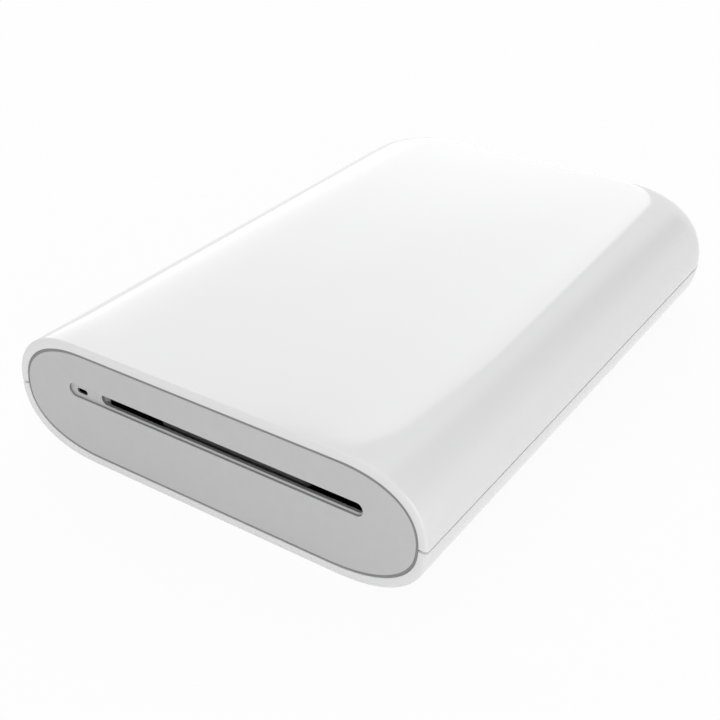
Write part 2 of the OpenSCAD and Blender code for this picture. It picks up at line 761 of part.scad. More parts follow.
module pinch_rollers() {
    color("whitesmoke") for (s = [-1, 1]) difference() {
        bar_x(pinch_at, exit_r, paper_x + s * 9 - pinch_w / 2, paper_x + s * 9 + pinch_w / 2);
        bar_x(pinch_at, thin_shaft_r + snug, left_in, right_in);
    }
}

module pick_shaft() {
    color("silver") bar_x(pick_at, shaft_r, left_out - 0.6, plane_a + gear_w);
}

module pick_roller() {
    color("black") difference() {
        bar_x(pick_at, pick_r, paper_x - pick_half, paper_x + pick_half);
        bar_x(pick_at, shaft_r + snug, left_in, right_in);
    }
}

module pick_gear() {
    color("ivory") gear_x(pick_at, teeth_pick, pick_turn, plane_a, gear_w, shaft_r + snug);
}

// Large wheel in the outer plane and small wheel in the inner plane, moulded as one.
module double_gear(at, small_teeth, turn_large, turn_small) {
    bore = stud_r + fit;
    color("ivory") {
        gear_x(at, teeth_large, turn_large, plane_b, gear_w, bore);
        gear_x(at, small_teeth, turn_small, plane_a, gear_w + gap, bore);
    }
}

module front_double_gear() { double_gear(front_double_at, teeth_small, small_turn, small_turn); }

module rear_double_gear() { double_gear(rear_double_at, teeth_small_rear, large_turn, large_turn); }

module motor_can() {
    color("gray") difference() {
        intersection() {
            bar_x(motor_at, motor_r, right_in - motor_l, right_in);
            block(right_in - motor_l - past, right_in + past, motor_at[0] - motor_r, motor_at[0] + motor_r,
                  motor_at[1] - motor_flat, motor_at[1] + motor_flat);
        }
        bar_x(motor_at, motor_shaft_r + fit, right_in - 4, right_in + past);
    }
}

module motor_shaft() {
    color("silver") bar_x(motor_at, motor_shaft_r, right_in - 3.5, train_end);
}

module motor_pinion() {
    color("goldenrod") gear_x(motor_at, teeth_pinion, pinion_turn, plane_b, gear_w, motor_shaft_r + snug);
}

// ---------- electronics ----------

module main_board() {
    color("darkgreen") difference() {
        block(-board_half, board_half, board_front, board_rear, board_z, board_top);
        for (h = board_holes) translate([h[0], h[1], board_z - past]) cylinder(r = 0.75, h = 4);
    }
}

module board_chips() {
    chips = [[2, 34, 9, 9, 1], [-12, 34, 6, 5, 1.2], [14, 36, 5, 5, 1], [-4, 48, 7, 4, 1.6], [12, 47, 4,
        4, 2.2]];
    color("black") for (c = chips)
        block(c[0], c[0] + c[2], board_front - 30 + c[1], board_front - 30 + c[1] + c[3], board_top,
              board_top + c[4]);
}

module wireless_module() {
    color("silver") block(-20, -8, board_front + 13, board_front + 22, board_top, board_top + 1.6);
}

module charging_inlet() {
    inner = 0.4;
    color("silver") difference() {
        block(-port_w / 2, port_w / 2, rear_y - 7.4, rear_y - 2.1, board_top, board_top + port_h);
        block(-port_w / 2 + inner, port_w / 2 - inner, rear_y - 6, rear_y,
              board_top + inner, board_top + port_h - inner);
    }
    color("black") block(-port_w / 4, port_w / 4, rear_y - 6 - eps, rear_y - 3,
                         board_top + port_h / 2 - 0.3, board_top + port_h / 2 + 0.3);
}

module power_switch() {
    color("dimgray") {
        block(button_x - 3, button_x + 3, rear_y - 11, rear_y - 7, board_top, board_top + 3);
        translate([button_x, rear_y - 7 - eps, control_z]) rotate([-90, 0, 0]) cylinder(r = 0.9, h = 0.7);
    }
}

module power_button() {
    color("white") {
        stadium_y(button_x, control_z, button_l, button_h, rear_y - 5 - eps, rear_y - 0.9);
        stadium_y(button_x, control_z, button_l + 1.8, button_h, rear_y - 5.8, rear_y - 5);
    }
}

module light_pipe() {
    color("lightcyan") translate([light_x, rear_y - 6, control_z]) rotate([-90, 0, 0]) cylinder(r = 0.8,
        h = 4.6);
    color("white") block(light_x - 1, light_x + 1, rear_y - 7.5, rear_y - 6, board_top, board_top + 2.6);
}

module reset_switch() {
    color("darkgreen") block(pinhole_x - 2.2, pinhole_x + 2.2, exit_at[0] + 2.2, exit_at[0] + 3,
                             seam_z - 1, seam_z + 4.5);
    color("black") difference() {
        block(pinhole_x - 1.8, pinhole_x + 1.8, exit_at[0] - 1.2, exit_at[0] + 2.2, pinhole_z - 1.6,
              pinhole_z + 1.6);
        translate([pinhole_x, exit_at[0] + 1, pinhole_z]) rotate([90, 0, 0]) cylinder(r = 0.7 + fit, h = 5);
    }
}

module reset_button() {
    color("ivory") {
        translate([pinhole_x, exit_at[0] + 0.5, pinhole_z]) rotate([90, 0, 0]) cylinder(r = 0.7,
            h = 2.2 + eps);
        translate([pinhole_x, exit_at[0] - 1.7, pinhole_z]) rotate([90, 0, 0]) cylinder(r = 1.1, h = 0.8);
    }
}

module paper_sensor() {
    color("black") block(sensor_at[0] - 2.5, sensor_at[0] + 2.5, sensor_at[1] - 2.5, sensor_at[1] + 2.5,
                         tray_z - 1.6, tray_z);
}

module battery_pack() {
    color("royalblue") for (x = [cell_left, cell_left + cell_w + cell_gap])
        block(x, x + cell_w, battery_front, battery_rear, battery_z, battery_z + battery_h);
}

module battery_pad() {
    color("ivory") block(cell_left + 2, cell_left + 2 * cell_w - 4, battery_front + 2, battery_rear - 2,
                         floor_z, battery_z);
}

module battery_lead() {
    z = battery_z + 3;
    plug_y = board_front + 2.5;
    color("red") lead([[5, battery_rear, z], [5, battery_rear + 1, z], [5, battery_rear + 2, z + 0.6],
                       [5, plug_y - 2, board_top + 1.2], [5, plug_y, board_top + 1.2]], 0.45);
    color("white") block(2, 8, plug_y - 1, plug_y + 1, board_top, board_top + 2.2);
}

module motor_lead() {
    x = cell_left + 2 * cell_w + cell_gap + 1.1;
    low = floor_z + 0.8;
    end_x = right_in - motor_l;
    plug_y = board_front + 8;
    color("red") lead([[end_x, motor_at[0], motor_at[1]], [end_x - 2, motor_at[0], motor_at[1]],
                       [end_x - 3, motor_at[0] + 1, motor_at[1] - 1.5], [end_x - 2, motor_at[0] + 4,
                           low + 0.6],
                       [end_x + 1, motor_at[0] + 7, low], [x - 3, motor_at[0] + 11, low], [x,
                           frame_rear - 4, low],
                       [x, frame_rear + 4, low], [x, 0, low], [x, board_front - 8, low],
                       [x, board_front - 3, low + 0.4], [x, board_front - 1.2, board_top + 0.6],
                       [x - 0.4, board_front + 1, board_top + 1.2], [x - 1.6, plug_y - 2.5, board_top + 1.2],
                       [x - 2, plug_y - 0.5, board_top + 1.2]], 0.5);
    color("white") block(x - 5, x - 0.4, plug_y - 1.5, plug_y + 1, board_top, board_top + 2.2);
}

module head_flex() {
    x = -26.3;
    t = 0.3;
    low = frame_foot + web_t + gap;
    y0 = pivot_at[0] - 2.6;
    y1 = pivot_at[0] + 1.5;
    top = plate_top + 0.3;
    color("chocolate") {
        block(x, left_in + 3, y0, y1, top, top + t);
        block(left_in + 2.7, left_in + 3, y0, y1, sink_top + 0.4, top + t);
        block(x, x + t, y0, y1, low, top + t);
        block(x, x + t, y0, board_front + 8, low, board_top + 4);
        block(x, -board_half + 4, board_front + 5, board_front + 8, board_top, board_top + 1);
    }
}

module board_screws() {
    color("gray") for (h = board_holes) screw(h[0], h[1], board_top, 0.6, 2.2);
}

top_cover();
cover_liner();
cover_magnets();
pressure_plate();
pressure_pads();
pressure_springs();
base_shell();
front_panel();
paper_tray();
hinge_pins();
tray_screws();
mechanism_frame();
frame_screws();
frame_magnets();
gear_studs();
spring_bridge();
head_springs();
thermal_head();
heat_sink();
head_pivots();
feed_ramp();
exit_guide();
platen_shaft();
platen_roller();
platen_gear();
platen_bushes();
exit_shaft();
exit_roller();
exit_gear();
exit_idler();
pinch_shaft();
pinch_rollers();
pick_shaft();
pick_roller();
pick_gear();
front_double_gear();
rear_double_gear();
motor_can();
motor_shaft();
motor_pinion();
main_board();
board_chips();
wireless_module();
charging_inlet();
power_switch();
power_button();
light_pipe();
reset_switch();
reset_button();
paper_sensor();
battery_pack();
battery_pad();
battery_lead();
motor_lead();
head_flex();
board_screws();
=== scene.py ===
"""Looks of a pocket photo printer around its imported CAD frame: case skins, springs, finishes and studio."""

import json
import math

import bmesh
import bpy
import numpy as np
from bpy.props import FloatProperty, FloatVectorProperty, IntProperty, PointerProperty
from mathutils import Matrix, Vector

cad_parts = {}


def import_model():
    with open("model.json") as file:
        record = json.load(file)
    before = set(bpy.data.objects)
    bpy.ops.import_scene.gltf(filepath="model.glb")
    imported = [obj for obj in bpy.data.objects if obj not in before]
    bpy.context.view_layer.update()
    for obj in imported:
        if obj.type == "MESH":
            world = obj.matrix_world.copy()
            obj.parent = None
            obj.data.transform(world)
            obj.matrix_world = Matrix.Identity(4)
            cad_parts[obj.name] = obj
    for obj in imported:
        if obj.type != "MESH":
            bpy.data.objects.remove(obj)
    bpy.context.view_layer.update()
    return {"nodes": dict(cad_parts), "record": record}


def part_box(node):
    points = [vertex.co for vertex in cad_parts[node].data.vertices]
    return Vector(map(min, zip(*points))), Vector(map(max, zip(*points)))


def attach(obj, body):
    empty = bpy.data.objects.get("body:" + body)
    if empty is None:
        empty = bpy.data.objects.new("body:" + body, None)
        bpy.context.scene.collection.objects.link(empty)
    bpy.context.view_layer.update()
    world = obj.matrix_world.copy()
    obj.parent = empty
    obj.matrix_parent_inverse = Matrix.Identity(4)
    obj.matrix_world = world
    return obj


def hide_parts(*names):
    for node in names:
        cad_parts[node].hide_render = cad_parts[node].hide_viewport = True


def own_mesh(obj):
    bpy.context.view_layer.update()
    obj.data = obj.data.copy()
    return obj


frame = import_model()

bl_info = {
    "name": "Pocket photo printer looks",
    "version": (1, 0, 0),
    "blender": (4, 5, 0),
    "location": "View3D > Sidebar > Printer",
    "description": "Case skins, springs, finishes and studio for a pocket photo printer",
    "category": "Object",
}

MM = 0.001


def length(name, description, default_mm, low=0.0):
    """A size property in metres whose default is given in millimetres; low is its lower limit in metres."""
    return FloatProperty(name=name, description=description, default=default_mm * MM, min=low,
                         subtype="DISTANCE", unit="LENGTH", precision=4)


def shade(name, description, value):
    """A colour property with linear values."""
    return FloatVectorProperty(name=name, description=description, default=value, min=0, max=1,
                               size=3, subtype="COLOR")


class CaseSizes(bpy.types.PropertyGroup):
    """Sizes of the two shells."""

    width: length("Width", "Width of the case at the seam", 85)
    depth: length("Length", "Length of the case", 124)
    height: length("Height", "Height of the case", 24)
    seam: length("Seam height", "Height of the seam between the shells", 12)
    seam_gap: length("Seam gap", "Gap between the shells", 0.3)
    wall: length("Wall", "Thickness of both shells", 1.6)
    upper_reach: length("Upper reach", "How far the upper side curves in", 14.8)
    lower_reach: length("Lower reach", "How far the lower side curves in", 16.8)
    rear_top: length("Rear reach, top", "How far the rear curves in at the top", 5)
    rear_low: length("Rear reach, bottom", "How far the rear curves in at the bottom", 11.76)
    fullness: FloatProperty(name="Fullness", description="Power of the side curve, 2 is an ellipse",
                            default=2.3, min=2, max=3)
    corner: length("Rear corner", "Radius of the rear corners seen from above", 13)
    rim_round: length("Rim rounding", "Rounding of the rim's outer edge", 0.5)
    seam_round: length("Seam rounding", "Rounding of the shells' edges at the seam", 0.12)
    levels: IntProperty(name="Levels", description="Steps of the side curve", default=30, min=8, max=80)
    corner_steps: IntProperty(name="Corner steps", description="Steps of a rear corner", default=18, min=6,
                              max=60)


class PanelSizes(bpy.types.PropertyGroup):
    """Sizes of the end panel with its recess, paper slot and pinhole."""

    gap: length("Gap", "Shadow gap round the panel", 0.45)
    groove: length("Groove depth", "Depth of the shadow gap", 0.12)
    edge: length("Edge rounding", "Rounding of the front edge", 0.1)
    setback: length("Setback", "How far the panel sits back from the rim", 0.1)
    recess_x: length("Recess place", "Middle of the recess from the middle of the case", 0.4, low=-0.05)
    recess_z: length("Recess height", "Height of the middle of the recess", 14.6)
    recess_w: length("Recess width", "Width of the recess round the slot", 61.4)
    recess_h: length("Recess opening", "Opening of the recess round the slot", 2.65)
    recess: length("Recess depth", "Depth of the recess round the slot", 0.5)
    slot_x: length("Slot place", "Middle of the paper slot from the middle of the case", 4, low=-0.05)
    slot_z: length("Slot height", "Height of the middle of the paper slot", 14.825)
    slot_w: length("Slot width", "Width of the paper slot", 54)
    slot_h: length("Slot opening", "Opening of the paper slot", 2.2)
    lip: length("Slot lip", "Thickness of the slot's lower lip", 0.6)
    pinhole_x: length("Pinhole place", "Middle of the pinhole from the middle of the case", -27.6, low=-0.05)
    pinhole_z: length("Pinhole height", "Height of the middle of the pinhole", 14.5)
    pinhole_w: length("Pinhole width", "Width of the pinhole", 2.4)
    pinhole_h: length("Pinhole opening", "Opening of the pinhole", 1)


class SpringSizes(bpy.types.PropertyGroup):
    """Sizes of the coil springs."""

    plate_wire: length("Plate spring wire", "Wire thickness of the pressure springs", 0.4)
    plate_turns: FloatProperty(name="Plate spring turns", description="Turns of a pressure spring", default=3.5,
                               min=2, max=8)
    head_wire: length("Head spring wire", "Wire thickness of the head springs", 0.3)
    head_turns: FloatProperty(name="Head spring turns", description="Turns of a head spring", default=4.5,
                              min=2, max=8)


class Colours(bpy.types.PropertyGroup):
    """Colours of the main finishes, and the painted shade of the end panel's gap, recess walls and slot."""

    case: shade("Case", "Glossy case moulding", (0.8, 0.8, 0.802))
    panel: shade("Panel", "Fine matt end panel", (0.555, 0.555, 0.555))
    # Painted shade: a flat dark tone painted into the panel's gap, recess walls and slot, where shade falls
    gap: shade("Panel gap", "Shadow gap and slot of the end panel", (0.25, 0.25, 0.25))
    inner: shade("Inner plastic", "Tray and ramp mouldings", (0.52, 0.53, 0.54))


class Stage(bpy.types.PropertyGroup):
    """Studio around the object."""

    floor: shade("Floor", "Floor and backdrop", (0.9, 0.9, 0.9))
    world: FloatProperty(name="Ambient", description="Even light from all round", default=0.665, min=0, max=3)
    wall: FloatProperty(name="Side wall", description="Brightness of the side wall as seen in gloss",
                        default=0.3, min=0, max=1)
    key: FloatProperty(name="Key light", description="Power of the wide lamp behind on the left",
                       default=2.68, min=0, max=50, unit="POWER")
    top: FloatProperty(name="Top light", description="Power of the overhead lamp",
                       default=0.9, min=0, max=50, unit="POWER")
    fill: FloatProperty(name="Fill light", description="Power of the low narrow lamp in front on the right",
                        default=0.85, min=0, max=50, unit="POWER")


# ---------- meshes ----------

SIDE_STEPS = 12     # steps along a straight side of the case
REAR_STEPS = 4      # steps from a rear corner to the middle of the rear
ROOF_STEPS = 8      # steps across the flat top of the front outline


class Patchwork:
    """Collects grids and caps, then welds them into one closed mesh."""

    def __init__(self):
        self.points, self.faces, self.count = [], [], 0

    def grid(self, points, closed_u=False, closed_v=False):
        """Joins an (m, n, 3) array of points by quads; closed_u wraps the first index, closed_v the second."""
        m, n = points.shape[:2]
        index = np.arange(m * n).reshape(m, n) + self.count
        if closed_u:
            index = np.vstack([index, index[:1]])
        if closed_v:
            index = np.hstack([index, index[:, :1]])
        a, b = index[:-1, :-1], index[1:, :-1]
        c, d = index[1:, 1:], index[:-1, 1:]
        self.faces += np.stack([a, b, c, d], -1).reshape(-1, 4).tolist()
        self.points.append(points.reshape(-1, 3))
        self.count += m * n

    def cap(self, points):
        """Closes an (n, 3) loop of points with one flat face."""
        self.faces.append((np.arange(len(points)) + self.count).tolist())
        self.points.append(points)
        self.count += len(points)

    def mesh(self, name, crease=40, weld=2e-6):
        """Welds, turns all faces outward and shades smooth except over edges sharper than crease degrees."""
        mesh = bpy.data.meshes.new(name)
        mesh.from_pydata(np.vstack(self.points), [], self.faces)
        work = bmesh.new()
        work.from_mesh(mesh)
        bmesh.ops.remove_doubles(work, verts=work.verts, dist=weld)
        bmesh.ops.dissolve_degenerate(work, edges=work.edges, dist=weld / 4)
        bmesh.ops.recalc_face_normals(work, faces=work.faces)
        work.to_mesh(mesh)
        work.free()
        smooth(mesh, crease)
        return mesh


def smooth(mesh, crease):
    """Shades a mesh smooth except over edges sharper than crease degrees."""
    mesh.shade_smooth()
    mesh.set_sharp_from_angle(angle=math.radians(crease))


def place(name, mesh, body, material, replaces=()):
    """Makes the object of a finished mesh, gives it its material, hangs it on its CAD body and hides the CAD nodes
    it replaces.
    """
    old = bpy.data.objects.get(name)
    if old:
        bpy.data.objects.remove(old)
    obj = bpy.data.objects.new(name, mesh)
    bpy.context.scene.collection.objects.link(obj)
    mesh.materials.clear()
    mesh.materials.append(material)
    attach(obj, body)
    if replaces:
        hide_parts(*replaces)
    return obj


def curve_in(t, power):
    """Share of the reach by which the side has curved in: 1 less the power-th root of 1 - t^power."""
    return 1 - np.maximum(0, 1 - t ** power) ** (1 / power)


def half_ring(case, off, c, z, reach, rear, front):
    """Right half of horizontal slices of the case, from the front edge round to the middle of the rear.

    off, c and z are arrays of one value per slice. The slice is a rectangle with rounded rear corners:
    half-width w/2 - off - reach c, rear l/2 - off - rear c, corner radius corner - off - rear c.
    """
    off, c, z = (np.asarray(v, float).reshape(-1, 1) for v in (off, c, z))
    half = case.width / 2 - off - reach * c
    back = case.depth / 2 - off - rear * c
    radius = np.maximum(case.corner - off - rear * c, 1 * MM)
    turn = np.linspace(0, math.pi / 2, case.corner_steps + 1)
    start = (back - radius)[0, 0]
    along = np.linspace(front, start, SIDE_STEPS + 1)[:-1]
    across = np.linspace(1, 0, REAR_STEPS + 1)[1:]
    x = np.hstack([half + 0 * along, half - radius + radius * np.cos(turn), (half - radius) * across])
    y = np.hstack([along + 0 * half, back - radius + radius * np.sin(turn), back + 0 * across])
    return np.stack([x, y, z + 0 * x], -1)


def full_ring(half):
    """Adds the mirrored left half to right half slices."""
    return np.concatenate([half, (half * [-1, 1, 1])[:, -2::-1]], 1)


def shell_mesh(case, upper):
    """One case shell as a closed solid with a rounded rim and seam edge.

    Its walls are stacks of slices at heights seam + (top - seam) t, where t = sin(a)^(2/power) spaces the
    levels evenly round the curve. The rim is the end outline at offset d, carried from the outer wall over
    a quarter round to the flat end, and over a small quarter round to the inner wall.
    """
    power = case.fullness
    reach, rear = (case.upper_reach, case.rear_top) if upper else (case.lower_reach, case.rear_low)
    sign = 1 if upper else -1
    edge = case.seam if upper else case.seam - case.seam_gap
    top = case.height if upper else 0.0
    front = -case.depth / 2
    start = front + case.rim_round
    share = np.sin(np.linspace(0, math.pi / 2, case.levels + 1)) ** (2 / power)
    c = curve_in(share, power)
    c[0] = 0
    first = edge + sign * case.seam_round

    def heights(off):
        z = case.seam + (top - sign * off - case.seam) * share
        z[0] = first
        return z

    work = Patchwork()
    for off in (0.0, case.wall):
        ring = full_ring(half_ring(case, np.full(len(c), off), c, heights(off), reach, rear, start))
        work.grid(ring)
        roof = np.linspace(ring[-1, -1], ring[-1, 0], ROOF_STEPS + 1)[1:-1]
        work.cap(np.vstack([ring[-1], roof]))
    quarter = np.linspace(0, math.pi / 2, 5)
    inner_round = 0.2 * MM
    # Offsets and set-backs of the rim's profile, then of the seam edge's profile, with as many points
    rim_off = np.concatenate([case.rim_round * (1 - np.cos(quarter)),
                              case.wall - inner_round + inner_round * np.sin(quarter[1:]), [case.wall]])
    rim_back = np.concatenate([case.rim_round * (1 - np.sin(quarter)),
                               inner_round * (1 - np.cos(quarter[1:])), [case.rim_round]])
    edge_off = np.concatenate([case.seam_round * (1 - np.cos(quarter)),
                               np.linspace(case.seam_round, case.wall, 5)[1:], [case.wall]])
    edge_rise = np.concatenate([case.seam_round * (1 - np.sin(quarter)), np.zeros(4), [case.seam_round]])
    edge_z = edge + sign * edge_rise
    arches = []
    for off, back in zip(rim_off, rim_back):
        side = np.stack([case.width / 2 - off - reach * c, np.full(len(c), front + back), heights(off)], -1)
        left = (side * [-1, 1, 1])[::-1]
        arches.append(np.vstack([side, np.linspace(side[-1], left[0], ROOF_STEPS + 1)[1:-1], left]))
    arches = np.array(arches)
    work.grid(arches)
    edge_ring = full_ring(half_ring(case, edge_off, np.zeros(len(edge_off)), edge_z, reach, rear, start))
    work.grid(edge_ring)
    for end, column in ((arches[:, 0], edge_ring[:, 0]), (arches[:, -1], edge_ring[:, -1])):
        work.grid(np.stack([end, column]))
    return work.mesh("case_shell")


def prism(outline, axis, low, high):
    """An (n, 2) outline carried straight from low to high along axis 0 (X), 1 (Y) or 2 (Z), closed at its ends."""
    def at(value):
        return np.insert(outline, axis, value, axis=1)
    work = Patchwork()
    work.grid(np.stack([at(low), at(high)]), closed_v=True)
    work.cap(at(low))
    work.cap(at(high))
    return work.mesh("prism", crease=20)


def box_outline(x0, x1, y0, y1):
    """Corners of a rectangle."""
    return np.array([[x0, y0], [x1, y0], [x1, y1], [x0, y1]], float)


def stadium(cx, cz, long, high, steps=16):
    """Round-ended slot outline: two half circles of radius high/2 joined by straights."""
    a = np.linspace(-math.pi / 2, math.pi / 2, steps + 1)
    right = np.stack([cx + (long - high) / 2 + high / 2 * np.cos(a), cz + high / 2 * np.sin(a)], -1)
    left = np.stack([cx - (long - high) / 2 - high / 2 * np.cos(a), cz - high / 2 * np.sin(a)], -1)
    return np.vstack([right, left])


def sector(cy, cz, radius, a0, a1, steps=28):
    """Pie outline about (cy, cz) between two angles in degrees."""
    a = np.radians(np.linspace(a0, a1, steps + 1))
    arc = np.stack([cy + radius * np.cos(a), cz + radius * np.sin(a)], -1)
    return np.vstack([[[cy, cz]], arc])


def cut(mesh, cutters, crease=40):
    """Takes the cutter meshes out of a closed mesh one after another."""
    obj = bpy.data.objects.new("cut_work", mesh)
    bpy.context.scene.collection.objects.link(obj)
    for cutter in cutters:
        tool = bpy.data.objects.new("cut_tool", cutter)
        bpy.context.scene.collection.objects.link(tool)
        step = obj.modifiers.new("cut", "BOOLEAN")
        step.operation = "DIFFERENCE"
        step.solver = "EXACT"
        step.object = tool
        graph = bpy.context.evaluated_depsgraph_get()
        result = bpy.data.meshes.new_from_object(obj.evaluated_get(graph))
        obj.modifiers.clear()
        obj.data = result
        bpy.data.objects.remove(tool)
    result = obj.data
    bpy.data.objects.remove(obj)
    smooth(result, crease)
    return result


def panel_face(case, panel):
    """Where the end panel's flat face lies along Y."""
    return panel.setback - case.depth / 2


def plate_mesh(case, panel, node):
    """End panel: the end outline at offset d, carried from its face over a quarter round and a step to its back.

    The outline is x = w/2 - d - reach c(t) and z = seam + (top - seam) t, above and below the seam. The step
    is the flange that closes the shadow gap between panel and shells.
    """
    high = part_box(node)[1]
    face = panel_face(case, panel)
    share = np.sin(np.linspace(0, math.pi / 2, 2 * case.levels + 1)) ** (2 / case.fullness)
    c = curve_in(share, case.fullness)
    quarter = np.linspace(0, math.pi / 2, 5)
    inset = case.wall + panel.gap
    flange = case.wall + 0.04 * MM
    steps = [(flange, high.y), (flange, face + panel.groove), (inset, face + panel.groove)]
    steps += [(inset + panel.edge * (1 - math.cos(a)), face + panel.edge * (1 - math.sin(a))) for a in quarter]
    loops = []
    for off, y in steps:
        up = np.stack([case.width / 2 - off - case.upper_reach * c,
                       case.seam + (case.height - off - case.seam) * share], -1)
        down = np.stack([case.width / 2 - off - case.lower_reach * c, case.seam - (case.seam - off) * share], -1)
        right = np.vstack([down[:0:-1], up])
        loop = np.vstack([right, (right * [-1, 1])[::-1]])
        loops.append(np.insert(loop, 1, y, axis=1))
    work = Patchwork()
    work.grid(np.array(loops), closed_v=True)
    work.cap(loops[0])
    work.cap(loops[-1])
    return work.mesh("plate")


def lathe(profile, centre, axis=2, steps=48):
    """An (n, 2) profile of radius and height turned about an axis through centre: r cos a, r sin a, h."""
    a = np.linspace(0, 2 * math.pi, steps, endpoint=False)
    r, h = profile[:, :1], profile[:, 1:]
    ring = np.stack([r * np.cos(a), r * np.sin(a), h + 0 * a], -1)
    order = {2: [0, 1, 2], 0: [2, 0, 1], 1: [1, 2, 0]}[axis]
    return ring[..., order] + np.array(centre, float)


def coil(centre, low, high, r_low, r_high, wire, turns, sides=10, steps=36):
    """Coil spring: a tube of round wire round the helix r(s) cos 2 pi n s, r(s) sin 2 pi n s, z(s).

    The first and last three quarters of a turn lie flat, as on a closed-end spring, and r goes from
    r_low to r_high, so that a tapered spring can lie in itself.
    """
    n = int(turns * steps)
    s = np.linspace(0, 1, n + 1)
    flat = 0.75 / turns
    rise = np.clip((s - flat) / (1 - 2 * flat), 0, 1)
    rise = rise * rise * (3 - 2 * rise)
    z = low + wire / 2 + (high - low - wire) * rise
    r = r_low + (r_high - r_low) * s - wire / 2
    a = 2 * math.pi * turns * s
    path = np.stack([centre[0] + r * np.cos(a), centre[1] + r * np.sin(a), z], -1)
    ahead = np.gradient(path, axis=0)
    ahead /= np.linalg.norm(ahead, axis=1, keepdims=True)
    out = np.stack([np.cos(a), np.sin(a), 0 * a], -1)
    out -= ahead * (out * ahead).sum(1, keepdims=True)
    out /= np.linalg.norm(out, axis=1, keepdims=True)
    up = np.cross(ahead, out)
    b = np.linspace(0, 2 * math.pi, sides, endpoint=False)[:, None, None]
    return np.swapaxes(path + wire / 2 * (np.cos(b) * out + np.sin(b) * up), 0, 1)


# ---------- node groups ----------

def node_group(name, inputs, outputs):
    """An empty shader group with named sockets, or None if it is there already."""
    if name in bpy.data.node_groups:
        return None, None, None
    group = bpy.data.node_groups.new(name, "ShaderNodeTree")
    for label, kind, value in inputs:
        socket = group.interface.new_socket(name=label, in_out="INPUT", socket_type=kind)
        if value is not None:
            socket.default_value = value
    for label, kind in outputs:
        group.interface.new_socket(name=label, in_out="OUTPUT", socket_type=kind)
    return group, group.nodes.new("NodeGroupInput"), group.nodes.new("NodeGroupOutput")


def math_node(tree, operation, a, b=None, clamp=False):
    """A Math node fed by sockets or numbers."""
    node = tree.nodes.new("ShaderNodeMath")
    node.operation = operation
    node.use_clamp = clamp
    for socket, value in zip(node.inputs, (a, b)):
        if hasattr(value, "links"):
            tree.links.new(value, socket)
        elif value is not None:
            socket.default_value = value
    return node.outputs[0]


def noise(tree, vector, scale, detail=2.0, rough=0.5):
    """A Noise Texture's value on a vector socket; scale is a socket or a number."""
    node = tree.nodes.new("ShaderNodeTexNoise")
    tree.links.new(vector, node.inputs["Vector"])
    if hasattr(scale, "links"):
        tree.links.new(scale, node.inputs["Scale"])
    else:
        node.inputs["Scale"].default_value = scale
    node.inputs["Detail"].default_value = detail
    node.inputs["Roughness"].default_value = rough
    return node.outputs["Fac"]


def spread(tree, value, low, high):
    """Maps the usual range of a noise value to low..high."""
    node = tree.nodes.new("ShaderNodeMapRange")
    for key, number in (("From Min", 0.3), ("From Max", 0.7)):
        node.inputs[key].default_value = number
    for key, number in (("To Min", low), ("To Max", high)):
        if hasattr(number, "links"):
            tree.links.new(number, node.inputs[key])
        else:
            node.inputs[key].default_value = number
    tree.links.new(value, node.inputs["Value"])
    return node.outputs["Result"]


def build_groups():
    """Makes the shared effects: grain, handling marks and brushed lines."""
    group, entry, leave = node_group("moulded_grain",
                                     [("Vector", "NodeSocketVector", None), ("Scale", "NodeSocketFloat", 4000.0)],
                                     [("Height", "NodeSocketFloat"), ("Mask", "NodeSocketFloat")])
    if group:
        fine = noise(group, entry.outputs["Vector"], entry.outputs["Scale"], 3, 0.6)
        slow = math_node(group, "MULTIPLY", entry.outputs["Scale"], 0.07)
        broad = noise(group, entry.outputs["Vector"], slow, 2)
        height = math_node(group, "ADD", fine, math_node(group, "MULTIPLY", broad, 0.4))
        group.links.new(height, leave.inputs["Height"])
        group.links.new(spread(group, broad, 0, 1), leave.inputs["Mask"])
    group, entry, leave = node_group("handling_marks",
                                     [("Vector", "NodeSocketVector", None), ("Scale", "NodeSocketFloat", 60.0),
                                      ("Low", "NodeSocketFloat", 0.2), ("High", "NodeSocketFloat", 0.3)],
                                     [("Roughness", "NodeSocketFloat"), ("Mask", "NodeSocketFloat")])
    if group:
        broad = noise(group, entry.outputs["Vector"], entry.outputs["Scale"], 4, 0.6)
        rough = spread(group, broad, entry.outputs["Low"], entry.outputs["High"])
        group.links.new(rough, leave.inputs["Roughness"])
        group.links.new(spread(group, broad, 0, 1), leave.inputs["Mask"])
    group, entry, leave = node_group("brushed_lines",
                                     [("Vector", "NodeSocketVector", None), ("Scale", "NodeSocketFloat", 900.0)],
                                     [("Height", "NodeSocketFloat"), ("Mask", "NodeSocketFloat")])
    if group:
        squeeze = group.nodes.new("ShaderNodeMapping")
        squeeze.inputs["Scale"].default_value = (0.04, 1, 1)
        group.links.new(entry.outputs["Vector"], squeeze.inputs["Vector"])
        lines = noise(group, squeeze.outputs["Vector"], entry.outputs["Scale"], 4, 0.7)
        group.links.new(lines, leave.inputs["Height"])
        group.links.new(spread(group, lines, 0, 1), leave.inputs["Mask"])


def use_group(tree, name, vector, **values):
    """Places a shared effect in a material with its own values."""
    node = tree.nodes.new("ShaderNodeGroup")
    node.node_tree = bpy.data.node_groups[name]
    tree.links.new(vector, node.inputs["Vector"])
    for key, value in values.items():
        node.inputs[key].default_value = value
    return node


def blend_colour(tree, mask, low, high):
    """Mixes two linear colours by a mask socket; low is a socket or a colour."""
    node = tree.nodes.new("ShaderNodeMix")
    node.data_type = "RGBA"
    tree.links.new(mask, node.inputs["Factor"])
    if hasattr(low, "links"):
        tree.links.new(low, node.inputs["A"])
    else:
        node.inputs["A"].default_value = (*low, 1)
    node.inputs["B"].default_value = (*high, 1)
    return node.outputs["Result"]


def overlay(material, mask, colour):
    """Lays a colour over a finish where the mask socket is 1."""
    tree = material.node_tree
    base = tree.nodes["Principled BSDF"].inputs["Base Color"]
    tree.links.new(blend_colour(tree, mask, base.links[0].from_socket, colour), base)


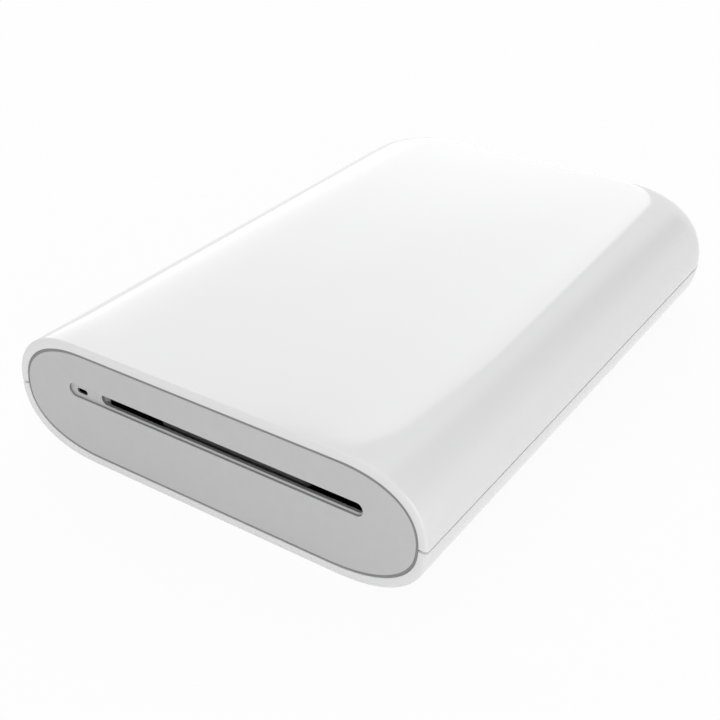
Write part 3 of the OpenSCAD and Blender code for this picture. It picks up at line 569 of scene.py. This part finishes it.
def finish_material(name, colour, rough, effect="moulded_grain", scale=4000.0, depth=0.01, vary=0.03,
                    marks=60.0, metal=0.0, **shader):
    """A finish from one colour: its grain or lines in Bump, its tone and roughness varied by slow marks."""
    material = bpy.data.materials.get(name)
    if material:
        return material
    material = bpy.data.materials.new(name)
    material.use_nodes = True
    tree = material.node_tree
    surface = tree.nodes["Principled BSDF"]
    where = tree.nodes.new("ShaderNodeTexCoord").outputs["Object"]
    grain = use_group(tree, effect, where, Scale=scale)
    wear = use_group(tree, "handling_marks", where, Scale=marks, Low=rough[0], High=rough[1])
    tone = math_node(tree, "ADD", math_node(tree, "MULTIPLY", grain.outputs["Mask"], 0.5),
                     math_node(tree, "MULTIPLY", wear.outputs["Mask"], 0.5))
    low = [max(0, v * (1 - vary)) for v in colour]
    high = [min(1, v * (1 + vary)) for v in colour]
    tree.links.new(blend_colour(tree, tone, low, high), surface.inputs["Base Color"])
    tree.links.new(wear.outputs["Roughness"], surface.inputs["Roughness"])
    bump = tree.nodes.new("ShaderNodeBump")
    bump.inputs["Strength"].default_value = 1
    bump.inputs["Distance"].default_value = depth * MM
    tree.links.new(grain.outputs["Height"], bump.inputs["Height"])
    tree.links.new(bump.outputs["Normal"], surface.inputs["Normal"])
    surface.inputs["Metallic"].default_value = metal
    for key, value in shader.items():
        surface.inputs[key.replace("_", " ")].default_value = value
    return material


def board_material():
    """Solder mask over copper runs: square cells of a Voronoi pattern set apart the lighter runs."""
    material = bpy.data.materials.get("circuit_board")
    if material:
        return material
    material = finish_material("circuit_board", (0.02, 0.13, 0.055), (0.3, 0.42), scale=2500, depth=0.006)
    tree = material.node_tree
    cells = tree.nodes.new("ShaderNodeTexVoronoi")
    cells.distance = "CHEBYCHEV"
    cells.inputs["Scale"].default_value = 420
    tree.links.new(tree.nodes["Texture Coordinate"].outputs["Object"], cells.inputs["Vector"])
    overlay(material, math_node(tree, "LESS_THAN", cells.outputs["Distance"], 0.2), (0.05, 0.26, 0.1))
    return material


def panel_material(case, panel, colours):
    """The matt panel colour on the face, the recess floor and the back, and painted shade in the gaps and the
    slot.

    The painted shade, a flat dark tone, lies on the recess's walls, the slot as deep as its lip, and outside the
    recess's box the gap's flange.
    """
    material = bpy.data.materials.get("matt_grey_panel")
    if material:
        return material
    material = finish_material("matt_grey_panel", colours.panel, (0.48, 0.56), scale=7000, depth=0.012,
                               vary=0.02)
    tree = material.node_tree
    split = tree.nodes.new("ShaderNodeSeparateXYZ")
    tree.links.new(tree.nodes["Texture Coordinate"].outputs["Object"], split.inputs["Vector"])
    x, y, z = (split.outputs[key] for key in "XYZ")
    near, margin = 0.02 * MM, 0.2 * MM
    face = panel_face(case, panel)

    def behind(value):
        return math_node(tree, "GREATER_THAN", y, value)

    def before(value):
        return math_node(tree, "LESS_THAN", y, value)

    def outside(value, middle, size):
        off = math_node(tree, "ABSOLUTE", math_node(tree, "SUBTRACT", value, middle))
        return math_node(tree, "GREATER_THAN", off, size / 2 + margin)

    floor = face + panel.recess
    # Painted shade: the gap colour is painted where shade falls, on the recess walls, the gap's flange and the
    # slot as deep as its lip
    wall = math_node(tree, "MULTIPLY", behind(face + panel.groove + near), before(floor - near))
    beside = math_node(tree, "MAXIMUM", outside(x, panel.recess_x, panel.recess_w),
                       outside(z, panel.recess_z, panel.recess_h))
    gap = math_node(tree, "MULTIPLY", behind(face + panel.groove - near), beside)
    painted_shade = math_node(tree, "MAXIMUM", math_node(tree, "MAXIMUM", behind(floor + near), wall), gap)
    overlay(material, math_node(tree, "MULTIPLY", painted_shade, before(floor + panel.lip - near)), colours.gap)
    return material


def finishes(scene):
    """Material of each slot of the record."""
    colours = scene.printer_colours
    lines = "brushed_lines"
    return {
        "white_case": finish_material("glossy_white", colours.case, (0.11, 0.15), scale=900, depth=0.0012,
                                      vary=0.004, marks=35, Coat_Weight=0.25, Coat_Roughness=0.05),
        "grey_panel": panel_material(scene.printer_case, scene.printer_panel, colours),
        "inner_plastic": finish_material("matt_inner_grey", colours.inner, (0.42, 0.52), scale=6000, depth=0.01),
        "dark_plastic": finish_material("matt_black", (0.025, 0.025, 0.027), (0.4, 0.55), scale=6000,
                                        depth=0.012, vary=0.12),
        "gear_plastic": finish_material("acetal", (0.76, 0.73, 0.64), (0.3, 0.4), scale=5000, depth=0.006,
                                        Subsurface_Weight=0.1, Subsurface_Scale=0.001),
        "rubber_black": finish_material("ground_rubber", (0.028, 0.028, 0.03), (0.6, 0.75), scale=9000,
                                        depth=0.03, vary=0.2),
        "rubber_grey": finish_material("grey_roller", (0.36, 0.36, 0.37), (0.5, 0.65), scale=9000,
                                       depth=0.03, vary=0.15),
        "pad_cork": finish_material("cork_rubber", (0.36, 0.22, 0.11), (0.75, 0.9), scale=2600, depth=0.06,
                                    vary=0.35),
        "steel": finish_material("bright_steel", (0.62, 0.62, 0.63), (0.18, 0.3), lines, 1600, 0.003, 0.05,
                                 metal=1.0),
        "frame_steel": finish_material("plated_sheet", (0.5, 0.52, 0.54), (0.28, 0.42), lines, 900, 0.003,
                                       0.08, metal=1.0),
        "aluminium": finish_material("extruded_aluminium", (0.72, 0.73, 0.74), (0.3, 0.42), lines, 1200, 0.004,
                                     0.05, metal=1.0),
        "bronze": finish_material("sintered_bronze", (0.5, 0.33, 0.15), (0.4, 0.55), scale=6000, depth=0.01,
                                  vary=0.15, metal=1.0),
        "brass": finish_material("turned_brass", (0.72, 0.53, 0.22), (0.2, 0.3), lines, 2000, 0.002, 0.05,
                                 metal=1.0),
        "ceramic_head": finish_material("glazed_ceramic", (0.17, 0.1, 0.065), (0.1, 0.2), scale=1500,
                                        depth=0.002, vary=0.1),
        "board_green": board_material(),
        "battery_film": finish_material("pouch_film", (0.07, 0.12, 0.27), (0.25, 0.4), scale=700, depth=0.05,
                                        vary=0.06),
        "foam": finish_material("foam_tape", (0.72, 0.72, 0.66), (0.85, 0.95), scale=3500, depth=0.08,
                                vary=0.1),
        "lead_red": finish_material("wire_cover", (0.42, 0.02, 0.02), (0.35, 0.45), scale=3000, depth=0.006),
        "flex_amber": finish_material("polyimide_film", (0.42, 0.17, 0.03), (0.2, 0.32), lines, 500, 0.004,
                                      0.15),
        "light_diffuser": finish_material("milky_guide", (0.85, 0.87, 0.87), (0.25, 0.35), scale=3000,
                                          depth=0.004, Transmission_Weight=0.2),
    }


# ---------- operators ----------

HINGE = (58.4 * MM, 12 * MM)       # y and z of the cover's hinge axis
OPEN_ANGLE = 60                    # degrees that the cover opens
LIP_END = 35.17 * MM               # half length of the rounded lip beside the hinge
LUG_END = 38.78 * MM               # half length of the trough for the hinge lugs
LUG_REACH = 2.6 * MM               # radius of that trough

# In millimetres: middle x and z, then width and height or radius, of the holes in the rear
INLET_HOLE = (0, 5.9, 8.2, 3.2)
BUTTON_HOLE = (18, 6.3, 7.6, 3.2)
LIGHT_HOLE = (11, 6.3, 0.85)
LABEL_FIELD = (-22, 22, -8, 14)    # x and y limits on the underside
LABEL_DEPTH = 0.2

# Screw posts in millimetres: x, y, radius, foot, top and radius of the bore
POSTS = [(x, y, 2.4, foot, 9.4, 0.85) for x, foot in ((-29.5, 1.2), (34, 2.2)) for y in (-5, 26, 49)]
POSTS += [(x, y, 2.2, 1.2, 3.0, 0.85) for x, y in ((-12, -52.28), (20, -52.28), (-28.2, -15))]
POSTS += [(x, y, 1.8, 1.2, 3.6, 0.65) for x in (-23, 23) for y in (33, 53)]
PANEL_RIBS = (-12, 20)             # middle x of the two ribs behind the end panel, in millimetres

PLATE_COIL = (2.4 * MM, 1.7 * MM)  # lower and upper radius of a pressure spring
HEAD_COIL = 1.8 * MM               # radius of a head spring

# Place, width and height of the lamps in metres
LAMPS = {
    "key": ((-0.59, 0.70, 0.407), 0.96, 0.8),
    "top": ((-0.1, 0.0, 0.9), 0.8, 0.8),
    "fill": ((0.42, -0.42, 0.16), 0.13, 0.36),
}
CAMERA_AT = (0.108318, -0.180536, 0.128024)
CAMERA_TURN = (33.3237, 31.4519, 0.5517)    # azimuth, elevation and roll in degrees


class PRINTER_OT_case(bpy.types.Operator):
    """Makes the two glossy case shells as smooth closed skins."""

    bl_idname = "printer.case"
    bl_label = "Case shells"

    def execute(self, context):
        case = context.scene.printer_case
        finish = finishes(context.scene)["white_case"]
        place("cover_skin", shell_mesh(case, True), "cover", finish, ["top_cover"])
        base = cut(shell_mesh(case, False), self.openings(case))
        place("base_skin", base, "case", finish, ["base_shell"])
        place("base_posts", self.posts(), "case", finish)
        return {"FINISHED"}

    def openings(self, case):
        """Cutters: the hinge's troughs and the cover's way down, then the rear controls and the label field."""
        gap = case.seam_gap
        y, z = HINGE
        slab = case.depth / 2 - y + gap
        reach = slab - 0.1 * MM
        opened = math.radians(-OPEN_ANGLE)
        down = np.array([math.cos(opened), math.sin(opened)]) * slab
        away = np.array([-down[1], down[0]]) * 3
        sweep = np.array([y, z]) + np.array([[0, 0], down, down + away, away])
        side = math.degrees(math.acos(-gap / reach))
        wide = sector(y, z, reach, -side, side)[1:]
        side = math.degrees(math.acos(-gap / LUG_REACH))
        narrow = sector(y, z, LUG_REACH, -side, side)[1:]
        half = LIP_END + gap
        rear0, rear1 = case.depth / 2 - 8 * MM, case.depth / 2 + 1 * MM
        inlet_x, inlet_z, inlet_w, inlet_h = (v * MM for v in INLET_HOLE)
        inlet = box_outline(inlet_x - inlet_w / 2, inlet_x + inlet_w / 2,
                            inlet_z - inlet_h / 2, inlet_z + inlet_h / 2)
        light_x, light_z, light_r = LIGHT_HOLE
        light = np.linspace(0, 2 * math.pi, 24, endpoint=False)
        light = np.stack([light_x + light_r * np.cos(light), light_z + light_r * np.sin(light)], -1) * MM
        return [
            prism(wide, 0, -half, half),
            prism(sweep, 0, -half, half),
            prism(narrow, 0, -LUG_END, LUG_END),
            prism(inlet, 1, rear0, rear1),
            prism(stadium(*(v * MM for v in BUTTON_HOLE)), 1, rear0, rear1),
            prism(light, 1, rear0, rear1),
            prism(box_outline(*(v * MM for v in LABEL_FIELD)), 2, -1 * MM, LABEL_DEPTH * MM),
        ]

    def posts(self):
        """Screw posts under the tray, frame and board, and the two ribs behind the end panel."""
        work = Patchwork()
        bevel, sole = 0.15, 0.8
        for x, y, radius, low, high, bore in POSTS:
            profile = np.array([[0, low], [radius, low], [radius, high - bevel], [radius - bevel, high],
                                [bore, high], [bore, low + sole], [0, low + sole]])
            work.grid(lathe(profile * MM, (x * MM, y * MM, 0)), closed_v=True)
        low, high = -59.7 * MM, -58.5 * MM
        for x in PANEL_RIBS:
            outline = box_outline((x - 4) * MM, (x + 4) * MM, 1.2 * MM, 8 * MM)
            loops = np.stack([np.insert(outline, 1, y, axis=1) for y in (low, high)])
            work.grid(loops, closed_v=True)
            work.cap(loops[0])
            work.cap(loops[1])
        return work.mesh("base_posts", crease=30)


class PRINTER_OT_panel(bpy.types.Operator):
    """Makes the matt end panel with its recess, paper slot and pinhole."""

    bl_idname = "printer.panel"
    bl_label = "End panel"

    def execute(self, context):
        case, panel = context.scene.printer_case, context.scene.printer_panel
        face = panel_face(case, panel)
        out, back = face - 1 * MM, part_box("front_panel")[1].y + 1 * MM
        floor = face + panel.recess
        recess = stadium(panel.recess_x, panel.recess_z, panel.recess_w, panel.recess_h)
        slot = stadium(panel.slot_x, panel.slot_z, panel.slot_w, panel.slot_h)
        pinhole = stadium(panel.pinhole_x, panel.pinhole_z, panel.pinhole_w, panel.pinhole_h)
        # Reliefs behind the panel: under the slot up to its lip, and round the pinhole
        half = panel.slot_w / 2 - 0.3 * MM
        under = box_outline(panel.slot_x - half, panel.slot_x + half, floor + panel.lip, back)
        side = 2.6 * MM
        round_pinhole = box_outline(panel.pinhole_x - side, panel.pinhole_x + side, floor + 0.3 * MM, back)
        cutters = [
            prism(recess, 1, out, floor),
            prism(slot, 1, out, back),
            prism(under, 2, panel.slot_z - 2.4 * MM, panel.slot_z),
            prism(pinhole, 1, out, back),
            prism(round_pinhole, 2, panel.pinhole_z - 2.5 * MM, panel.pinhole_z + 1.7 * MM),
        ]
        mesh = cut(plate_mesh(case, panel, "front_panel"), cutters, crease=30)
        place("panel_face", mesh, "case", finishes(context.scene)["grey_panel"], ["front_panel"])
        return {"FINISHED"}


class PRINTER_OT_springs(bpy.types.Operator):
    """Makes the pressure springs and the head springs as wound wire."""

    bl_idname = "printer.springs"
    bl_label = "Springs"

    def execute(self, context):
        sizes = context.scene.printer_springs
        finish = finishes(context.scene)["steel"]
        low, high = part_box("pressure_springs")
        work = Patchwork()
        wide = PLATE_COIL[0]
        for x in (low.x + wide, high.x - wide):
            for y in (low.y + wide, high.y - wide):
                self.wind(work, (x, y), low.z, high.z, *PLATE_COIL, sizes.plate_wire, sizes.plate_turns)
        springs = place("plate_springs", work.mesh("plate_springs"), "cover", finish,
                        ["pressure_springs"])
        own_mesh(springs)
        low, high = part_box("head_springs")
        work = Patchwork()
        y = (low.y + high.y) / 2
        for x in (low.x + HEAD_COIL, high.x - HEAD_COIL):
            self.wind(work, (x, y), low.z, high.z, HEAD_COIL, HEAD_COIL, sizes.head_wire, sizes.head_turns)
        springs = place("head_coils", work.mesh("head_coils"), "case", finish, ["head_springs"])
        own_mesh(springs)
        return {"FINISHED"}

    def wind(self, work, centre, low, high, r_low, r_high, wire, turns):
        """Adds one closed coil to a patchwork."""
        tube = coil(centre, low, high, r_low, r_high, wire, turns)
        work.grid(tube, closed_u=True)
        work.cap(tube[:, 0])
        work.cap(tube[:, -1])


class PRINTER_OT_finishes(bpy.types.Operator):
    """Gives every CAD node that still shows the finish of its material slot."""

    bl_idname = "printer.finishes"
    bl_label = "Node finishes"

    def execute(self, context):
        made = finishes(context.scene)
        for part in frame["record"]["subparts"]:
            mesh = frame["nodes"][part["node"]].data
            mesh.materials.clear()
            mesh.materials.append(made[part["material_slot"]])
        return {"FINISHED"}


class PRINTER_OT_stage(bpy.types.Operator):
    """Makes the pale floor, the even world light, the soft lamps and the camera."""

    bl_idname = "printer.stage"
    bl_label = "Studio"

    def execute(self, context):
        stage = context.scene.printer_stage
        self.floor(stage)
        self.world(context.scene, stage)
        for name, (at, wide, high) in LAMPS.items():
            self.lamp(name, getattr(stage, name), Vector(at), wide, high)
        self.camera(context.scene)
        context.scene.view_settings.view_transform = "Standard"
        return {"FINISHED"}

    def seen(self, tree, share):
        """The share where camera, glossy or transmitted rays meet the surface, 0 elsewhere."""
        path = tree.nodes.new("ShaderNodeLightPath")
        bounced = math_node(tree, "MAXIMUM", path.outputs["Is Glossy Ray"], path.outputs["Is Transmission Ray"])
        meets = math_node(tree, "MAXIMUM", path.outputs["Is Camera Ray"], bounced)
        return math_node(tree, "MULTIPLY", meets, share)

    def step(self, tree, value, low, high):
        """A soft step from 0 at low to 1 at high."""
        node = tree.nodes.new("ShaderNodeMapRange")
        node.interpolation_type = "SMOOTHSTEP"
        node.inputs["From Min"].default_value = low
        node.inputs["From Max"].default_value = high
        tree.links.new(value, node.inputs["Value"])
        return node.outputs["Result"]

    def floor(self, stage):
        """A square just under the object: bright where it is seen, and still holding the object's shadow."""
        mesh = bpy.data.meshes.new("floor")
        size, low = 2.0, -0.05 * MM
        corners = [(-size, -size, low), (size, -size, low), (size, size, low), (-size, size, low)]
        mesh.from_pydata(corners, [], [(0, 1, 2, 3)])
        floor = bpy.data.objects.new("floor", mesh)
        bpy.context.scene.collection.objects.link(floor)
        material = bpy.data.materials.new("pale_floor")
        material.use_nodes = True
        tree = material.node_tree
        surface = tree.nodes["Principled BSDF"]
        surface.inputs["Base Color"].default_value = (*stage.floor, 1)
        surface.inputs["Roughness"].default_value = 0.9
        surface.inputs["Specular IOR Level"].default_value = 0.1
        light = tree.nodes.new("ShaderNodeEmission")
        mix = tree.nodes.new("ShaderNodeMixShader")
        tree.links.new(self.seen(tree, 0.93), mix.inputs[0])
        tree.links.new(surface.outputs[0], mix.inputs[1])
        tree.links.new(light.outputs[0], mix.inputs[2])
        tree.links.new(mix.outputs[0], tree.nodes["Material Output"].inputs["Surface"])
        mesh.materials.append(material)

    def world(self, scene, stage):
        """Even light for the object, white behind it, and dimmer walls under a white ceiling in its gloss."""
        world = bpy.data.worlds.new("studio")
        scene.world = world
        world.use_nodes = True
        tree = world.node_tree
        even = tree.nodes["Background"]
        even.inputs["Color"].default_value = (1, 1, 1, 1)
        even.inputs["Strength"].default_value = stage.world
        white = tree.nodes.new("ShaderNodeBackground")
        white.inputs["Color"].default_value = (1, 1, 1, 1)
        split = tree.nodes.new("ShaderNodeSeparateXYZ")
        tree.links.new(tree.nodes.new("ShaderNodeTexCoord").outputs["Generated"], split.inputs["Vector"])
        # The side wall is on the right and grows dimmer toward the ceiling
        right = self.step(tree, split.outputs["X"], 0.0, 0.25)
        dim = math_node(tree, "MULTIPLY", right, self.step(tree, split.outputs["Z"], 0.05, 0.6))
        glow = math_node(tree, "SUBTRACT", 1, math_node(tree, "MULTIPLY", dim, 1 - stage.wall))
        camera_ray = tree.nodes.new("ShaderNodeLightPath").outputs["Is Camera Ray"]
        tree.links.new(math_node(tree, "MAXIMUM", camera_ray, glow), white.inputs["Strength"])
        mix = tree.nodes.new("ShaderNodeMixShader")
        tree.links.new(self.seen(tree, 1.0), mix.inputs[0])
        tree.links.new(even.outputs[0], mix.inputs[1])
        tree.links.new(white.outputs[0], mix.inputs[2])
        tree.links.new(mix.outputs[0], tree.nodes["World Output"].inputs["Surface"])

    def lamp(self, name, power, at, wide, high):
        """A flat soft lamp that faces the object and stays out of the camera's sight."""
        data = bpy.data.lights.new(name, "AREA")
        data.energy = power
        data.shape = "RECTANGLE"
        data.size, data.size_y = wide, high
        lamp = bpy.data.objects.new(name, data)
        lamp.location = at
        lamp.rotation_mode = "QUATERNION"
        lamp.rotation_quaternion = at.to_track_quat("Z", "Y")
        lamp.visible_camera = False
        bpy.context.scene.collection.objects.link(lamp)

    def camera(self, scene):
        """Camera at the photograph's viewing angle: azimuth, elevation and a slight roll about its own line."""
        azimuth, elevation, roll = (math.radians(a) for a in CAMERA_TURN)
        level = math.cos(elevation)
        back = Vector((math.sin(azimuth) * level, -math.cos(azimuth) * level, math.sin(elevation)))
        right = (-back).cross(Vector((0, 0, 1))).normalized()
        up = back.cross(right)
        right, up = (right * math.cos(roll) + up * math.sin(roll), up * math.cos(roll) - right * math.sin(roll))
        turn = Matrix((right, up, back)).transposed()
        data = bpy.data.cameras.new("camera")
        data.lens = 59.837
        data.sensor_width = 36
        data.clip_start, data.clip_end = 0.01, 20
        camera = bpy.data.objects.new("camera", data)
        camera.matrix_world = Matrix.Translation(CAMERA_AT) @ turn.to_4x4()
        scene.collection.objects.link(camera)
        scene.camera = camera


class PRINTER_PT_panel(bpy.types.Panel):
    """Lists the printer's sizes, colours and makers in the sidebar."""

    bl_idname = "PRINTER_PT_panel"
    bl_label = "Pocket photo printer"
    bl_space_type = "VIEW_3D"
    bl_region_type = "UI"
    bl_category = "Printer"

    def draw(self, context):
        for label, group, makers in ROWS:
            box = self.layout.box()
            box.label(text=label)
            for key in getattr(context.scene, group).bl_rna.properties.keys():
                if key not in ("rna_type", "name"):
                    box.prop(getattr(context.scene, group), key)
            for maker in makers:
                box.operator(maker.bl_idname)


ROWS = [
    ("Case", "printer_case", [PRINTER_OT_case]),
    ("End panel", "printer_panel", [PRINTER_OT_panel]),
    ("Springs", "printer_springs", [PRINTER_OT_springs]),
    ("Colours", "printer_colours", [PRINTER_OT_finishes]),
    ("Studio", "printer_stage", [PRINTER_OT_stage]),
]
GROUPS = {"printer_case": CaseSizes, "printer_panel": PanelSizes, "printer_springs": SpringSizes,
          "printer_colours": Colours, "printer_stage": Stage}
CLASSES = [*GROUPS.values(), PRINTER_OT_case, PRINTER_OT_panel, PRINTER_OT_springs, PRINTER_OT_finishes,
           PRINTER_OT_stage, PRINTER_PT_panel]


def register():
    """Registers the classes and hangs their settings on the scene."""
    for cls in CLASSES:
        bpy.utils.register_class(cls)
    for name, cls in GROUPS.items():
        setattr(bpy.types.Scene, name, PointerProperty(type=cls))


def unregister():
    """Undoes register."""
    for name in GROUPS:
        delattr(bpy.types.Scene, name)
    for cls in reversed(CLASSES):
        bpy.utils.unregister_class(cls)


def main():
    """Makes the whole scene in order."""
    register()
    build_groups()
    bpy.ops.printer.finishes()
    bpy.ops.printer.case()
    bpy.ops.printer.panel()
    bpy.ops.printer.springs()
    bpy.ops.printer.stage()


if __name__ == "__main__":
    main()
